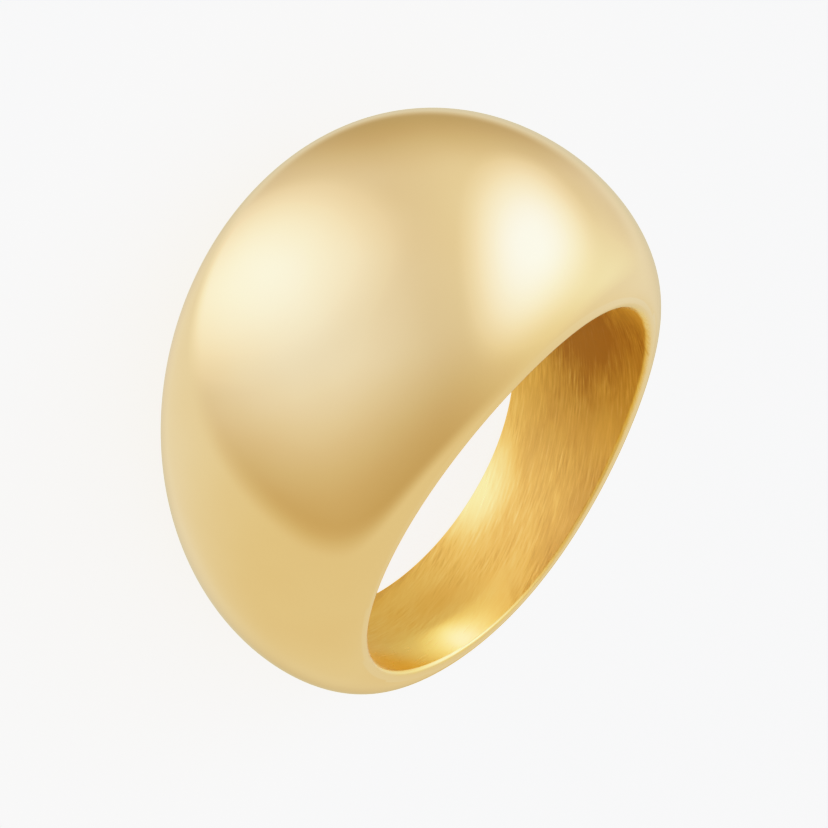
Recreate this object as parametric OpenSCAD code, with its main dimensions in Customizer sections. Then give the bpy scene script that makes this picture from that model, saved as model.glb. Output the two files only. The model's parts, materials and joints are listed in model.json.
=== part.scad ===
// Dome ring, one solid piece of metal.
// A round finger bore runs through a hoop that is narrow and thin behind the finger and
// swells evenly into a wide, tall dome in front of it.
// The ring lies on its side on z = 0 as it comes to rest by itself. The dome faces -Y and
// leans up a little, because it is wider than the band behind it.

/* [Finger] */
// Inside diameter of the ring, 17.3 fits an average woman's ring finger
bore_d = 17.3; // [14:0.1:22]

/* [Dome] */
// Width of the dome, measured along the finger
dome_w = 14; // [10:0.1:18]
// Metal between the finger and the top of the dome
dome_t = 6.8; // [4:0.1:9]
// Radius of the soft rim under the dome
dome_rim_r = 0.55; // [0.2:0.05:0.8]

/* [Band] */
// Width of the band behind the finger
band_w = 5; // [3:0.1:8]
// Thickness of the band behind the finger
band_t = 1.6; // [1.2:0.1:3]
// Radius of the band's rim behind the finger
band_rim_r = 0.15; // [0.1:0.05:0.4]

/* [Section] */
// Fullness of the rounded section: 2 is a plain oval, more has squarer shoulders
fullness = 2.1; // [2:0.1:4]

/* [Hidden] */

gold = [0.87, 0.71, 0.42];

// How far the hoop has swelled from the band's size (0) to the dome's size (1), at even
// steps of angle from the top of the dome round to the back of the finger
ANGLE = 0;
WIDTH = 1;
METAL = 2;
SWELL = [
  // angle, width, metal
  [0, 1.00, 1.00],
  [45, 0.795, 0.64],
  [90, 0.38, 0.21],
  [135, 0.065, 0.055],
  [180, 0.00, 0.00],
];
LAST = len(SWELL) - 1;

bore_r = bore_d / 2;
stations = 96; // sections round the finger
crown_steps = 24; // facets across the outside of a section
rim_steps = 4; // facets across a rim's round
rim_stand = 0.85; // share of a rim's radius that stands out from the bore
core_depth = 0.6; // metal inside the bore's surface that the bore takes away
lean_steps = 24; // halvings in the search for the resting lean

function sum(list, i = 0) = i == len(list) ? 0 : list[i] + sum(list, i + 1);
function blend(from, to, share) = from + (to - from) * share;
function end_half(i) = i == 0 || i == LAST ? 0.5 : 1;

// A smooth closed curve through the table's rows, as a short sum of cosine waves
function wave(column, k) =
  end_half(k) * 2 / LAST
  * sum([for (i = [0:LAST]) end_half(i) * SWELL[i][column] * cos(k * SWELL[i][ANGLE])]);
width_waves = [for (k = [0:LAST]) wave(WIDTH, k)];
metal_waves = [for (k = [0:LAST]) wave(METAL, k)];
function swell(waves, angle) = sum([for (k = [0:LAST]) waves[k] * cos(k * angle)]);

function half_width(angle) = blend(band_w, dome_w, swell(width_waves, angle)) / 2;
function metal(angle) = blend(band_t, dome_t, swell(metal_waves, angle));
function rim_radius(angle) = blend(band_rim_r, dome_rim_r, (1 + cos(angle)) / 2);

// One section as [along the finger, out from the bore's axis], from rim to rim
function crown(half_w, low, height) = [
  for (i = [0:crown_steps])
    let (along = -cos(180 * i / crown_steps))
      [half_w * along, low + height * pow(max(1 - along * along, 0), 1 / fullness)],
];
function rim_round(half_w, rim, side) = [
  for (i = [1:rim_steps])
    let (turn = 90 * i / rim_steps)
      [
        side * (half_w - rim + rim * cos(turn)),
        bore_r + rim * (rim_stand - sin(turn)),
      ],
];
function core_edge(half_w, rim, side) = [[side * (half_w - rim), bore_r - core_depth]];
function reversed(list) = [for (i = [len(list) - 1:-1:0]) list[i]];
function section(angle) =
  let (
    half_w = half_width(angle),
    rim = rim_radius(angle),
    low = bore_r + rim * rim_stand
  )
    concat(
      core_edge(half_w, rim, -1),
      reversed(rim_round(half_w, rim, -1)),
      crown(half_w, low, bore_r + metal(angle) - low),
      rim_round(half_w, rim, 1),
      core_edge(half_w, rim, 1)
    );

// The hoop's skin, with the finger along Z and the dome towards -Y
sections = [for (i = [0:stations - 1]) section(360 * i / stations)];
per_section = len(sections[0]);
hoop_points = [
  for (i = [0:stations - 1])
    let (angle = 360 * i / stations)
      for (p = sections[i])
        [p[1] * sin(angle), -p[1] * cos(angle), p[0]],
];
function at(i, j) = (i % stations) * per_section + j % per_section;
hoop_faces = [
  for (i = [0:stations - 1], j = [0:per_section - 1])
    each [
      [at(i, j), at(i + 1, j + 1), at(i + 1, j)],
      [at(i, j), at(i, j + 1), at(i + 1, j + 1)],
    ],
];

// The ring leans until the dome's rim and the band's flank touch the surface together
front_low = [for (p = hoop_points) if (p.z < 0 && p.y < 0) p];
back_low = [for (p = hoop_points) if (p.z < 0 && p.y >= 0) p];
function height(p, lean) = p.z * cos(lean) - p.y * sin(lean);
function lowest(points, lean) = min([for (p = points) height(p, lean)]);
function resting_lean(less, more, steps) =
  let (middle = (less + more) / 2)
    steps == 0 ? middle
    : lowest(front_low, middle) < lowest(back_low, middle)
      ? resting_lean(middle, more, steps - 1)
      : resting_lean(less, middle, steps - 1);
lean = resting_lean(0, 45, lean_steps);
lift = -lowest(front_low, lean);

// The origin is under the middle of the ring as it lies
depths = [for (p = hoop_points) p.y * cos(lean) + p.z * sin(lean)];
centring = -(min(depths) + max(depths)) / 2;

module finger_bore() {
  cylinder(h = dome_w + 2 * core_depth, r = bore_r, center = true, $fn = stations);
}

module ring() {
  color(gold)
    translate([0, centring, lift])
      rotate([-lean, 0, 0])
        difference() {
          polyhedron(points = hoop_points, faces = hoop_faces, convexity = 4);
          finger_bore();
        }
}

ring();
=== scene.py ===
import json
from math import atan2, cos, log2, pi, radians, sin, tau

import bmesh
import bpy
from mathutils import Matrix, Vector


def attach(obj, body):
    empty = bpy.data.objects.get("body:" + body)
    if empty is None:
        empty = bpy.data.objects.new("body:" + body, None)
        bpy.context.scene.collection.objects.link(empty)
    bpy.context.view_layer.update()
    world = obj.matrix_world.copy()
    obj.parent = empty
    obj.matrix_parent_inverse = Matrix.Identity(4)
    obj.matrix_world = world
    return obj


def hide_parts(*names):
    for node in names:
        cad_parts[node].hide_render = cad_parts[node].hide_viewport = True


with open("model.json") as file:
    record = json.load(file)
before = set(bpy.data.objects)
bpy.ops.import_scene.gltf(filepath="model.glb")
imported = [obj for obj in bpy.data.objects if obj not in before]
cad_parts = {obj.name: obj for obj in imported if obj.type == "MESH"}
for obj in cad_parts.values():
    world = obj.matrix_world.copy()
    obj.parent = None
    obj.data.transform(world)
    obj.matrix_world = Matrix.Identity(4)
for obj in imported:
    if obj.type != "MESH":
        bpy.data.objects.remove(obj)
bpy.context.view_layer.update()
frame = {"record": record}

# The finger bore places everything: the ring, the camera and the lights
bore = next(m for m in frame["record"]["mounts"] if m["name"] == "finger_bore")
boreCentre = Vector(bore["pos_m"])
boreRadius = bore["dims"]["r_mm"] / 1000
fingerAxis = Vector(bore["axis"])
ringLean = atan2(fingerAxis.y, fingerAxis.z)
ringTurn = Matrix.Rotation(-ringLean, 4, "X")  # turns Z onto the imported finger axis


# Camera

cameraSetup = {
    "around": 33.1,  # degrees round the ring from the front
    "above": 44.5,  # degrees above the floor
    "roll": 110.2,  # degrees the camera is turned over its own axis
    "distance": 0.173,  # metres from the bore's centre
    "aimLeft": 0.00079,  # metres the lens points to the left of the bore's centre
    "aimUp": 0.00136,  # and above it
    "lens": 185.8,  # mm
    "sensor": 36,  # mm
    "near": 0.01,
    "far": 10,
}


def placeCamera(setup):
    around, above = radians(setup["around"]), radians(setup["above"])
    back = Vector((sin(around) * cos(above), -cos(around) * cos(above), sin(above)))
    upright = back.to_track_quat("Z", "Y").to_matrix().to_4x4()
    turn = upright @ Matrix.Rotation(radians(setup["roll"]), 4, "Z")
    offset = Vector((-setup["aimLeft"], setup["aimUp"], setup["distance"]))
    data = bpy.data.cameras.new("camera")
    data.lens = setup["lens"]
    data.sensor_width = setup["sensor"]
    data.clip_start = setup["near"]
    data.clip_end = setup["far"]
    camera = bpy.data.objects.new("camera", data)
    camera.matrix_world = Matrix.Translation(boreCentre + turn.to_3x3() @ offset) @ turn
    bpy.context.scene.collection.objects.link(camera)
    bpy.context.scene.camera = camera
    return camera


camera = placeCamera(cameraSetup)
bpy.context.scene.view_settings.view_transform = "Khronos PBR Neutral"
print("camera placed")


# Node helpers

# Where a Mix node keeps its two ends and its result, for each kind of value
mixSockets = {"FLOAT": (2, 3, 0), "VECTOR": (4, 5, 1), "RGBA": (6, 7, 2)}

noiseMiddle = 0.5  # a noise swings round this value
noiseReach = (0.3, 0.7)  # and mostly stays between these


def fillInputs(tree, node, inputs):
    # An input is named or numbered, and holds a value or another node's output
    for name, value in inputs.items():
        if isinstance(value, bpy.types.NodeSocket):
            tree.links.new(value, node.inputs[name])
        else:
            node.inputs[name].default_value = value


def addNode(tree, kind, inputs=None, **settings):
    node = tree.nodes.new(kind)
    for name, value in settings.items():
        setattr(node, name, value)
    fillInputs(tree, node, inputs or {})
    return node


def mathNode(tree, operation, *values):
    return addNode(tree, "ShaderNodeMath", dict(enumerate(values)), operation=operation).outputs[0]


def vectorNode(tree, operation, *values):
    node = addNode(tree, "ShaderNodeVectorMath", dict(enumerate(values)), operation=operation)
    return node.outputs["Value" if operation == "LENGTH" else "Vector"]


def scaleVector(tree, vector, scale):
    node = addNode(tree, "ShaderNodeVectorMath", {0: vector, "Scale": scale}, operation="SCALE")
    return node.outputs["Vector"]


def mixNode(tree, kind, factor, low, high):
    lowEnd, highEnd, result = mixSockets[kind]
    ends = {"Factor": factor, lowEnd: low, highEnd: high}
    return addNode(tree, "ShaderNodeMix", ends, data_type=kind).outputs[result]


def rangeNode(tree, value, source, target=(0.0, 1.0), way="LINEAR"):
    ends = {"Value": value}
    ends["From Min"], ends["From Max"] = source
    ends["To Min"], ends["To Max"] = target
    return addNode(tree, "ShaderNodeMapRange", ends, interpolation_type=way).outputs["Result"]


def mappedVector(tree, way, **place):
    return addNode(tree, "ShaderNodeMapping", place, vector_type=way).outputs["Vector"]


def softOval(tree, vector, at, turn, size, edge):
    # 1 in the middle of a soft oval, 0 outside it
    turned = (0, 0, radians(turn))
    inOval = mappedVector(tree, "TEXTURE", Vector=vector, Location=at, Rotation=turned, Scale=size)
    away = vectorNode(tree, "LENGTH", inOval)
    return rangeNode(tree, away, (1 - edge, 1 + edge), (1.0, 0.0), "SMOOTHSTEP")


def placeGroup(tree, group, **inputs):
    return addNode(tree, "ShaderNodeGroup", inputs, node_tree=group).outputs[0]


def opaque(color):
    return (*color, 1)


# Studio light
# Soft panels stand round the ring in a pale tent. A panel's place is in degrees to the right
# of the lens and above it, and its size and turn are in degrees too. Stops and tint say how
# much brighter or darker a panel is than what it stands on, and in which colour.

studio = {
    "backdrop": 3.0,  # the plain background that the camera sees
    "overhead": (0.5, 1.4),  # the plain light on the floor, at the horizon and straight above
    "tent": {"stops": -0.24, "tint": (0.97, 1.0, 1.0)},
    "tentFront": {"at": (8.5, 38.5), "size": (130, 112), "turn": -20, "edge": 0.065},
    "surround": {"stops": 0.0, "tint": (0.92, 1.0, 1.035)},
    "inside": {
        "leftPanel": {
            "at": (-89, 49), "size": (55, 31), "turn": -2, "edge": 0.91,
            "stops": 1.51, "tint": (0.865, 1.0, 1.16),
        },
        "leftGlow": {
            "at": (-29, -11), "size": (46, 96), "turn": 26, "edge": 0.9,
            "stops": 0.52, "tint": (0.895, 1.0, 1.26),
        },
        "rightPanel": {
            "at": (74.5, 36), "size": (22, 46), "turn": 18, "edge": 0.79,
            "stops": 1.58, "tint": (0.835, 1.0, 1.55),
        },
        "rightGlow": {
            "at": (170, -81), "size": (38, 180), "turn": 38, "edge": 0.85,
            "stops": 0.67, "tint": (0.89, 1.0, 1.01),
        },
        "frontGlow": {
            "at": (0, -20), "size": (61, 39), "turn": 0, "edge": 0.92,
            "stops": -0.12, "tint": (1.01, 1.0, 0.96),
        },
        "darkFront": {
            "at": (-91, -97), "size": (180, 52), "turn": 4, "edge": 0.88,
            "stops": -1.17, "tint": (1.4, 1.0, 0.48),
        },
        "darkTop": {
            "at": (-7, 159), "size": (180, 39), "turn": 0, "edge": 0.9,
            "stops": -0.77, "tint": (1.17, 1.0, 0.71),
        },
    },
    "outside": {
        "darkBelow": {
            "at": (53, -158), "size": (180, 129), "turn": -40, "edge": 0.25,
            "stops": -0.22, "tint": (1.09, 1.0, 0.79),
        },
        "farGlow": {
            "at": (-174, 41), "size": (20, 180), "turn": -13, "edge": 0.91,
            "stops": 0.15, "tint": (1.0, 1.0, 1.09),
        },
    },
    # It darkens behind the ring, over this span of degrees off the lens
    "behind": {"span": (141, 171), "stops": -0.44, "tint": (1.1, 1.0, 0.8)},
    # and is even right behind it, where the panels' places run together
    "pole": {"span": (160, 178), "stops": -0.4, "tint": (1.0, 1.0, 0.87)},
}


def panelMask(tree, offLens, panel):
    at, size = (*panel["at"], 0), (*panel["size"], 1)
    return softOval(tree, offLens, at, panel["turn"], size, panel["edge"])


def panelStops(panel):
    return tuple(panel["stops"] + log2(part) for part in panel["tint"])


def addPanels(tree, offLens, ground, panels):
    total = panelStops(ground)
    for panel in panels.values():
        shown = scaleVector(tree, panelStops(panel), panelMask(tree, offLens, panel))
        total = vectorNode(tree, "ADD", total, shown)
    return total


def backgroundNode(tree, color=(1, 1, 1, 1), strength=1.0):
    glow = {"Color": color, "Strength": strength}
    return addNode(tree, "ShaderNodeBackground", glow).outputs["Background"]


def mixShaders(tree, factor, low, high):
    return addNode(tree, "ShaderNodeMixShader", {0: factor, 1: low, 2: high}).outputs["Shader"]


def lightStudio(setup):
    world = bpy.data.worlds.new("studio")
    world.use_nodes = True
    tree = world.node_tree
    tree.nodes.clear()
    # Direction of the light in the camera's axes, as degrees off the lens
    direction = addNode(tree, "ShaderNodeTexCoord").outputs["Generated"]
    cameraTurn = camera.matrix_world.to_3x3().inverted().to_euler()
    turned = mappedVector(tree, "POINT", Vector=direction, Rotation=cameraTurn)
    split = addNode(tree, "ShaderNodeSeparateXYZ", {"Vector": turned}).outputs
    angle = mathNode(tree, "DEGREES", mathNode(tree, "ARCCOSINE", split["Z"]))
    flat = addNode(tree, "ShaderNodeCombineXYZ", {"X": split["X"], "Y": split["Y"]})
    offLens = scaleVector(tree, vectorNode(tree, "NORMALIZE", flat.outputs["Vector"]), angle)
    # What stands behind the tent's front, and the front itself
    outside = addPanels(tree, offLens, setup["surround"], setup["outside"])
    behind = rangeNode(tree, angle, setup["behind"]["span"], way="SMOOTHSTEP")
    outside = vectorNode(tree, "ADD", outside, scaleVector(tree, panelStops(setup["behind"]), behind))
    inside = addPanels(tree, offLens, setup["tent"], setup["inside"])
    tent = mixNode(tree, "VECTOR", panelMask(tree, offLens, setup["tentFront"]), outside, inside)
    pole = rangeNode(tree, angle, setup["pole"]["span"], way="SMOOTHSTEP")
    whole = mixNode(tree, "VECTOR", pole, tent, panelStops(setup["pole"]))
    stops = addNode(tree, "ShaderNodeSeparateXYZ", {"Vector": whole}).outputs
    parts = {i: mathNode(tree, "POWER", 2.0, part) for i, part in enumerate(stops)}
    light = addNode(tree, "ShaderNodeCombineColor", parts).outputs["Color"]
    # The gold mirrors the tent, a plain overhead light falls on the floor, and the camera
    # itself sees a plain pale background
    height = addNode(tree, "ShaderNodeSeparateXYZ", {"Vector": direction}).outputs["Z"]
    overhead = rangeNode(tree, height, (0.0, 1.0), setup["overhead"])
    rays = addNode(tree, "ShaderNodeLightPath").outputs
    onFloor = backgroundNode(tree, strength=overhead)
    lit = mixShaders(tree, rays["Is Diffuse Ray"], backgroundNode(tree, light), onFloor)
    backdrop = backgroundNode(tree, strength=setup["backdrop"])
    seen = mixShaders(tree, rays["Is Camera Ray"], lit, backdrop)
    addNode(tree, "ShaderNodeOutputWorld", {"Surface": seen})
    bpy.context.scene.world = world


lightStudio(studio)


# A narrow lamp reaches through the hoop and makes the glint inside the band

boreLamp = {
    "around": 161,  # the lit spot, in degrees from the top of the dome
    "along": 0.0023,  # and in metres from the middle of the bore towards its upper rim
    "offLens": (-2, 112),  # where the lamp stands, as the panels do
    "distance": 0.06,
    "size": (0.0078, 0.0008),  # round the hoop and across
    "spread": 1.6,  # degrees
    "power": 0.0000055,
    "tint": (0.83, 1.0, 0.85),
}


def boreSpot(around, along):
    return Vector((boreRadius * sin(around), -boreRadius * cos(around), along))


def hangBoreLamp(setup):
    offLens = Vector(setup["offLens"])
    away = radians(offLens.length)
    side = offLens.normalized() * sin(away)
    direction = camera.matrix_world.to_3x3() @ Vector((*side, cos(away)))
    around = radians(setup["around"])
    spot = boreCentre + ringTurn.to_3x3() @ boreSpot(around, setup["along"])
    roundHoop = ringTurn.to_3x3() @ Vector((cos(around), sin(around), 0))
    across = direction.cross(roundHoop).normalized()
    turn = Matrix((across.cross(direction), across, direction)).transposed()
    data = bpy.data.lights.new("boreLamp", "AREA")
    data.shape = "ELLIPSE"
    data.size, data.size_y = setup["size"]
    data.spread = radians(setup["spread"])
    data.energy = setup["power"]
    data.color = setup["tint"]
    lamp = bpy.data.objects.new("boreLamp", data)
    lamp.matrix_world = Matrix.Translation(spot + direction * setup["distance"]) @ turn.to_4x4()
    bpy.context.scene.collection.objects.link(lamp)


hangBoreLamp(boreLamp)
print("studio lit")


# Finishes


def newGroup(name, inputs, outputs):
    group = bpy.data.node_groups.new(name, "ShaderNodeTree")
    for socketName, kind, value in inputs:
        socket = group.interface.new_socket(socketName, in_out="INPUT", socket_type=kind)
        if value is not None:
            socket.default_value = value
    for socketName, kind in outputs:
        group.interface.new_socket(socketName, in_out="OUTPUT", socket_type=kind)
    return group, group.nodes.new("NodeGroupInput"), group.nodes.new("NodeGroupOutput")


def makeSlowDrift():
    # Slow clouds over the metal, where plating and polish are never quite even
    group, given, out = newGroup(
        "slowDrift",
        [("Vector", "NodeSocketVector", None), ("Scale", "NodeSocketFloat", 200.0)],
        [("Drift", "NodeSocketFloat")],
    )
    cloud = {"Vector": given.outputs["Vector"], "Scale": given.outputs["Scale"]}
    clouds = addNode(group, "ShaderNodeTexNoise", {**cloud, "Detail": 2.0, "Roughness": 0.5})
    fillInputs(group, out, {"Drift": clouds.outputs["Fac"]})
    return group


def makeWorkLines():
    # Fine lines left by brushing or polishing, drawn out round the hoop
    group, given, out = newGroup(
        "workLines",
        [
            ("Vector", "NodeSocketVector", None),
            ("Across", "NodeSocketFloat", 4000.0),
            ("Along", "NodeSocketFloat", 100.0),
        ],
        [("Lines", "NodeSocketFloat")],
    )
    along, across = given.outputs["Along"], given.outputs["Across"]
    scales = addNode(group, "ShaderNodeCombineXYZ", {"X": along, "Y": along, "Z": across})
    stretched = vectorNode(group, "MULTIPLY", given.outputs["Vector"], scales.outputs["Vector"])
    strand = {"Vector": stretched, "Scale": 1.0, "Detail": 4.0, "Roughness": 0.6}
    strands = addNode(group, "ShaderNodeTexNoise", strand)
    fillInputs(group, out, {"Lines": strands.outputs["Fac"]})
    return group


slowDrift = makeSlowDrift()
workLines = makeWorkLines()


def startMaterial(name):
    material = bpy.data.materials.new(name)
    material.use_nodes = True
    tree = material.node_tree
    tree.nodes.clear()
    shader = addNode(tree, "ShaderNodeBsdfPrincipled")
    addNode(tree, "ShaderNodeOutputMaterial", {"Surface": shader.outputs["BSDF"]})
    return material, tree, shader


def ringCoordinates(tree):
    # Metres from the middle of the bore, with Z along the finger
    spot = addNode(tree, "ShaderNodeTexCoord").outputs["Object"]
    lean = (-ringLean, 0, 0)
    return mappedVector(tree, "TEXTURE", Vector=spot, Location=boreCentre, Rotation=lean)


def drawLines(tree, vector, grain):
    across, along = grain
    return placeGroup(tree, workLines, Vector=vector, Across=across, Along=along)


def addSwing(tree, noise, depth, value):
    # The noise moves the value up and down, by no more than about half the depth
    swing = mathNode(tree, "SUBTRACT", noise, noiseMiddle)
    return mathNode(tree, "MULTIPLY_ADD", swing, depth, value)


def bumpNode(tree, height, depth):
    return addNode(tree, "ShaderNodeBump", {"Distance": depth, "Height": height}).outputs["Normal"]


polishedLook = {
    "paleTone": (0.93, 0.69, 0.375),
    "deepTone": (0.91, 0.655, 0.34),
    "edgeTone": (1.0, 0.96, 0.88),  # what the metal mirrors at a glancing angle
    "driftScale": 180.0,
    "driftShare": 0.6,  # of the roughness, and the lines make the rest
    "lines": (2600.0, 90.0),  # to the metre, across the lines and along them
    "lineDepth": 0.0000004,
    "smooth": 0.04,  # roughness where the polish is best
    "dull": 0.07,
}


def makePolishedGold(look):
    material, tree, shader = startMaterial("polishedGold")
    spot = ringCoordinates(tree)
    drift = placeGroup(tree, slowDrift, Vector=spot, Scale=look["driftScale"])
    lines = drawLines(tree, spot, look["lines"])
    pale = rangeNode(tree, drift, noiseReach)
    uneven = mixNode(tree, "FLOAT", look["driftShare"], lines, drift)
    finish = {
        "Base Color": mixNode(tree, "RGBA", pale, opaque(look["deepTone"]), opaque(look["paleTone"])),
        "Metallic": 1.0,
        "Roughness": rangeNode(tree, uneven, noiseReach, (look["smooth"], look["dull"])),
        "Normal": bumpNode(tree, lines, look["lineDepth"]),
        "Specular Tint": opaque(look["edgeTone"]),
    }
    fillInputs(tree, shader, finish)
    return material


satinLook = {
    # The bore's tones are deeper and more saturated than the polish's gold, as painted shade for light
    # bounced round inside the bore
    "brownTone": (0.50, 0.233, 0.078),
    "middleTone": (0.87, 0.54, 0.147),
    "paleTone": (1.0, 0.72, 0.24),
    "middle": 0.5,  # place of the middle tone between the brown one, 0, and the pale one, 1
    "ground": 0.63,  # place of the plain brushed metal
    # The brushing leans off the hoop by these radians, and a second set of strokes crosses it.
    # Grain is to the metre, across the strokes and along them.
    "brushTurn": (-0.03, 0.22, 0),
    "crossTurn": (0, 0.5, 0),
    "blotches": (900.0, 190.0),
    "strokes": (12000.0, 800.0),
    "crossed": (10000.0, 900.0),
    "strokeShare": 0.65,  # of the strokes, and the crossing ones are the rest
    "strokeContrast": 1.0,
    "strokeDepth": 0.000003,
    "blotchContrast": 0.38,
    "calm": 0.3,  # share of the strokes that is left where they fade out
    "calmScale": 420.0,
    "calmReach": (0.4, 0.62),  # the strokes fade from the upper of these noise values to the lower
    "smooth": 0.28,  # roughness where the bore's tone is palest, in its pale strokes and painted highlights
    "dull": 0.58,
    "shineFrom": 0.4,  # browner places than this are all dull
    "rimWear": 0.35,  # the rims' inner edges are rubbed paler
    "rimWearWidth": 0.00005,
    "fadeWidth": 0.00025,  # how far out from the bore the satin fades into the polish
    "fadeWander": 0.0002,
    # Patches of painted shade make the bore browner and patches of painted highlight make it paler.
    # Around is degrees from the top of the dome, along is metres towards the upper rim, and size is
    # metres round the hoop and along it.
    "patchEdge": 0.8,
    "patches": {
        # Painted shade: browner patches where the bore lies in shade under the dome's shoulder, down
        # its sides and along its rims
        "shoulderPaintedShade": {"around": 275, "along": 0.0008, "size": (0.0036, 0.0036), "shift": -0.76},
        "sidePaintedShade": {"around": 212, "along": 0.0016, "size": (0.0054, 0.0030), "shift": -0.25},
        "farPaintedShade": {"around": 236, "along": -0.0016, "size": (0.0030, 0.0022), "shift": -0.16},
        "upperRimPaintedShade": {"around": 196, "along": 0.0030, "size": (0.0046, 0.0013), "shift": -0.14},
        "lowerRimPaintedShade": {"around": 165, "along": -0.0036, "size": (0.0050, 0.0014), "shift": -0.38},
        # Painted highlights: paler patches near the rims where the bore catches the light
        "upperRimPaintedHighlight": {"around": 140, "along": 0.0021, "size": (0.0050, 0.0016), "shift": 0.55},
        "lowerRimPaintedHighlight": {"around": 202, "along": -0.0029, "size": (0.0018, 0.0016), "shift": 0.5},
    },
}


# Each patch paints shade or a highlight into the bore's tone
def addPatches(tree, spot, tone, look):
    for patch in look["patches"].values():
        at = boreSpot(radians(patch["around"]), patch["along"])
        roundHoop, along = patch["size"]
        size = (roundHoop, 1.0, along)
        mask = softOval(tree, spot, at, patch["around"], size, look["patchEdge"])
        tone = mathNode(tree, "MULTIPLY_ADD", mask, patch["shift"], tone)
    return tone


def makeSatinGold(look, polish):
    material, tree, shader = startMaterial("satinGold")
    spot = ringCoordinates(tree)
    leaning = mappedVector(tree, "POINT", Vector=spot, Rotation=look["brushTurn"])
    crossing = mappedVector(tree, "POINT", Vector=spot, Rotation=look["crossTurn"])
    strokes = drawLines(tree, leaning, look["strokes"])
    crossed = drawLines(tree, crossing, look["crossed"])
    lines = mixNode(tree, "FLOAT", look["strokeShare"], crossed, strokes)
    # The tone is the ground with strokes, blotches, and patches of painted shade and painted highlight
    # over it
    wear = placeGroup(tree, slowDrift, Vector=leaning, Scale=look["calmScale"])
    faint, full = look["strokeContrast"] * look["calm"], look["strokeContrast"]
    contrast = rangeNode(tree, wear, look["calmReach"], (faint, full))
    tone = addSwing(tree, lines, contrast, look["ground"])
    blotches = drawLines(tree, leaning, look["blotches"])
    tone = addSwing(tree, blotches, look["blotchContrast"], tone)
    tone = addPatches(tree, spot, tone, look)
    flat = vectorNode(tree, "MULTIPLY", spot, (1, 1, 0))
    out = mathNode(tree, "SUBTRACT", vectorNode(tree, "LENGTH", flat), boreRadius)
    worn = rangeNode(tree, out, (0.0, look["rimWearWidth"]), (0.0, look["rimWear"]))
    tone = mathNode(tree, "ADD", tone, worn)
    # Brown, middle and pale follow it, and so does the roughness
    low = rangeNode(tree, tone, (0.0, look["middle"]))
    high = rangeNode(tree, tone, (look["middle"], 1.0))
    color = mixNode(tree, "RGBA", low, opaque(look["brownTone"]), opaque(look["middleTone"]))
    color = mixNode(tree, "RGBA", high, color, opaque(look["paleTone"]))
    rough = rangeNode(tree, tone, (look["shineFrom"], 1.0), (look["dull"], look["smooth"]))
    # Over the rims the satin fades into the outside's polish, a little unevenly
    out = addSwing(tree, strokes, look["fadeWander"], out)
    fade = rangeNode(tree, out, (0.0, look["fadeWidth"]), way="SMOOTHSTEP")
    brushed = mathNode(tree, "SUBTRACT", 1.0, fade)
    finish = {
        "Base Color": mixNode(tree, "RGBA", fade, color, opaque(polish["paleTone"])),
        "Metallic": 1.0,
        "Roughness": mixNode(tree, "FLOAT", fade, rough, polish["dull"]),
        "Normal": bumpNode(tree, mathNode(tree, "MULTIPLY", lines, brushed), look["strokeDepth"]),
    }
    fillInputs(tree, shader, finish)
    return material


print("finishes ready")


# Floor

floorLook = {
    "halfWidth": 3.0,
    "drop": 0.00002,  # just clear of the ring's smoother underside
    "paleTone": (0.32, 0.32, 0.32),
    "deepTone": (0.3, 0.3, 0.3),
    "driftScale": 30.0,
    "rough": 0.9,
    "glow": 1.2,  # it is lit from below as well, so shadows stay faint
    "glowTone": (1.0, 0.993, 0.983),
}


def makePaleFloor(look):
    material, tree, shader = startMaterial("paleFloor")
    spot = addNode(tree, "ShaderNodeTexCoord").outputs["Object"]
    drift = placeGroup(tree, slowDrift, Vector=spot, Scale=look["driftScale"])
    finish = {
        "Base Color": mixNode(tree, "RGBA", drift, opaque(look["deepTone"]), opaque(look["paleTone"])),
        "Roughness": look["rough"],
        "Specular IOR Level": 0.0,
        "Emission Color": opaque(look["glowTone"]),
        "Emission Strength": look["glow"],
    }
    fillInputs(tree, shader, finish)
    return material


def layFloor(look):
    mesh = bpy.data.meshes.new("floor")
    bm = bmesh.new()
    level = Matrix.Translation((0, 0, -look["drop"]))
    bmesh.ops.create_grid(bm, x_segments=1, y_segments=1, size=look["halfWidth"], matrix=level)
    bm.to_mesh(mesh)
    bm.free()
    mesh.materials.append(makePaleFloor(look))
    floor = bpy.data.objects.new("floor", mesh)
    # The gold mirrors the studio alone, and the studio's light passes through the floor
    floor.visible_glossy = False
    floor.visible_shadow = False
    bpy.context.scene.collection.objects.link(floor)


layFloor(floorLook)
print("floor laid")


# Ring

ringShape = {
    "boreRadius": boreRadius,
    "domeWidth": 0.0140,  # along the finger
    "domeMetal": 0.0068,  # from the finger to the top of the dome
    "domeRim": 0.00055,  # radius of the rim under the dome
    "bandWidth": 0.0050,
    "bandMetal": 0.0016,
    "bandRim": 0.00015,
    "fullness": 2.1,  # 2 is a plain oval section, more has squarer shoulders
    "rimStand": 0.85,  # share of a rim's radius that stands out from the bore
    "rimLead": 30,  # degrees of the rims' rounds that the bore cuts away, for a crisp edge
    "stations": 288,  # sections round the finger
    "crownSteps": 72,
    "rimSteps": 8,
    "boreCuts": 11,
}

# How far the hoop has swelled from the band (0) to the dome (1), at even steps of angle
# from the top of the dome round to the back of the finger
swellTable = [
    {"width": 1.0, "metal": 1.0},
    {"width": 0.795, "metal": 0.64},
    {"width": 0.38, "metal": 0.21},
    {"width": 0.065, "metal": 0.055},
    {"width": 0.0, "metal": 0.0},
]


def swell(share, angle):
    # A smooth closed curve through the table's rows, as a short sum of cosine waves
    last = len(swellTable) - 1
    rows = range(last + 1)
    half = [0.5 if i in (0, last) else 1.0 for i in rows]
    total = 0.0
    for wave in rows:
        weight = sum(half[i] * swellTable[i][share] * cos(wave * i * pi / last) for i in rows)
        total += half[wave] * 2 / last * weight * cos(wave * angle)
    return total


def blend(low, high, share):
    return low + (high - low) * share


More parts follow.
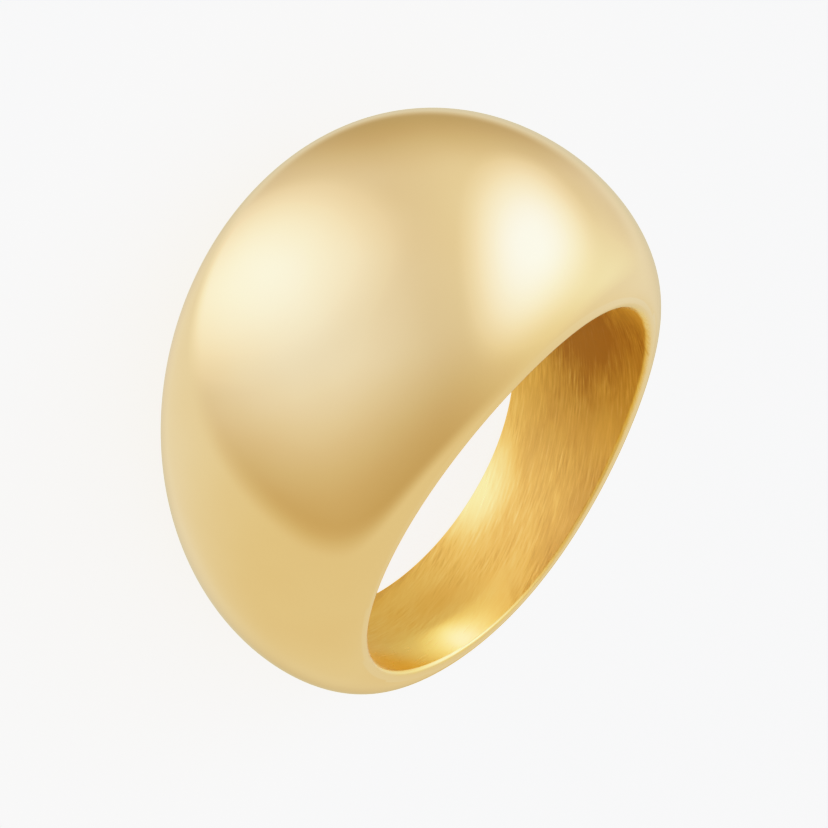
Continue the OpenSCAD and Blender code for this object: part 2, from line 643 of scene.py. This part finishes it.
def sectionAt(shape, angle):
    # One section from rim to rim, as distances along the finger and out from its axis
    halfWidth = blend(shape["bandWidth"], shape["domeWidth"], swell("width", angle)) / 2
    metal = blend(shape["bandMetal"], shape["domeMetal"], swell("metal", angle))
    rim = blend(shape["bandRim"], shape["domeRim"], (1 + cos(angle)) / 2)
    stand = rim * shape["rimStand"]
    lead = radians(shape["rimLead"])
    low = shape["boreRadius"] + stand * cos(lead)
    high = shape["boreRadius"] + metal
    points = []
    for i in range(shape["crownSteps"] + 1):
        along = -cos(pi * i / shape["crownSteps"])
        rise = max(1 - along * along, 0) ** (1 / shape["fullness"])
        points.append((halfWidth * along, blend(low, high, rise)))
    for i in range(1, shape["rimSteps"] + 1):
        turn = (pi / 2 - lead) * i / shape["rimSteps"]
        spot = (halfWidth - rim + rim * cos(turn), low - stand * sin(turn))
        points.append(spot)
        points.insert(0, (-spot[0], spot[1]))
    return points


def spinHoop(bm, shape):
    # The dome's own section is spun round the finger, then each copy takes its station's size
    row = bm.verts.layers.int.new("row")
    verts = []
    for i, (along, out) in enumerate(sectionAt(shape, 0)):
        vert = bm.verts.new((0, -out, along))
        vert[row] = i
        verts.append(vert)
    edges = [bm.edges.new(pair) for pair in zip(verts, verts[1:])]
    bmesh.ops.spin(
        bm,
        geom=verts + edges,
        cent=(0, 0, 0),
        axis=(0, 0, 1),
        angle=tau,
        steps=shape["stations"],
        use_merge=True,
    )
    step = tau / shape["stations"]
    sections = [sectionAt(shape, step * station) for station in range(shape["stations"])]
    for vert in bm.verts:
        station = round(atan2(vert.co.x, -vert.co.y) / step) % shape["stations"]
        along, out = sections[station][vert[row]]
        turned = step * station
        vert.co = (out * sin(turned), -out * cos(turned), along)


def closeBore(bm, shape):
    # The bore's wall joins the two rims
    rims = [edge for edge in bm.edges if edge.is_boundary]
    for edge in rims:
        edge.smooth = False
    wall = bmesh.ops.bridge_loops(bm, edges=rims)["faces"]
    across = {edge for face in wall for edge in face.edges} - set(rims)
    bmesh.ops.subdivide_edges(bm, edges=list(across), cuts=shape["boreCuts"], use_grid_fill=True)


def makeRing(shape):
    bm = bmesh.new()
    spinHoop(bm, shape)
    closeBore(bm, shape)
    # The satin covers the bore and as much of the rims as it fades over
    satinReach = shape["boreRadius"] + satinLook["fadeWidth"] + satinLook["fadeWander"]
    for face in bm.faces:
        face.smooth = True
        face.material_index = int(any(vert.co.xy.length < satinReach for vert in face.verts))
    bmesh.ops.recalc_face_normals(bm, faces=bm.faces)
    bmesh.ops.transform(bm, matrix=Matrix.Translation(boreCentre) @ ringTurn, verts=bm.verts)
    mesh = bpy.data.meshes.new("domeRing")
    bm.to_mesh(mesh)
    bm.free()
    mesh.materials.append(makePolishedGold(polishedLook))
    mesh.materials.append(makeSatinGold(satinLook, polishedLook))
    ring = bpy.data.objects.new("domeRing", mesh)
    bpy.context.scene.collection.objects.link(ring)
    return ring


domeRing = makeRing(ringShape)
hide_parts("ring")
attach(domeRing, "root")
print("ring made:", len(domeRing.data.polygons), "faces")
